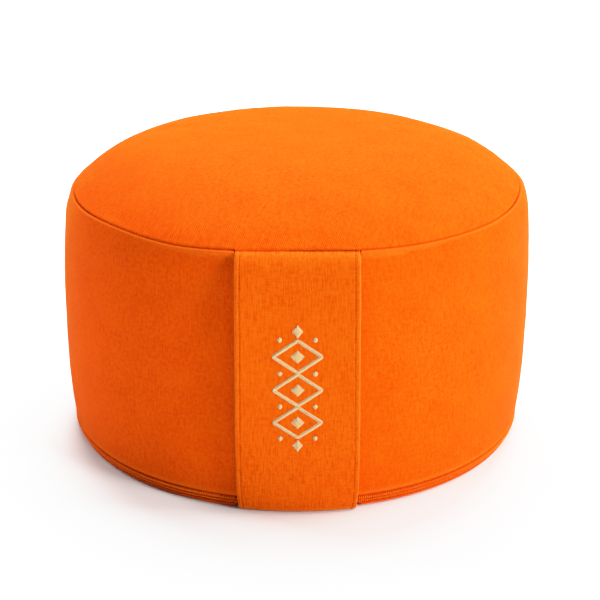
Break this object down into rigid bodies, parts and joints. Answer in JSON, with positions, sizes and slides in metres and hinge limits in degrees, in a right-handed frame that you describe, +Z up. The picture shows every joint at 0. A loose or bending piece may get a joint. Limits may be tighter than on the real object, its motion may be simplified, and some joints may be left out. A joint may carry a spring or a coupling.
{
  "type": "zafu meditation cushion",
  "caption": "Round filled meditation cushion with a crowned top, upright side band, flat base with a coil zip round it and a broad carry strap.",
  "frame": {"origin": "centre of the flat base, on the surface the cushion stands on", "axes": "+Z up through the crown; the carry strap is at the front, towards -Y; +X to the right as seen from the front"},
  "size_m": [0.3307, 0.3372, 0.2081],
  "materials": {
    "cover_cloth": "orange cotton twill, matt, slightly brushed",
    "strap_cloth": "orange cotton twill, doubled and topstitched",
    "zip_coil": "orange polyester coil on its woven tape"
  },
  "bodies": {
    "root": {"cushion_body": "cover_cloth", "carry_strap": "strap_cloth", "base_zip": "zip_coil"}
  },
  "joints": []
}
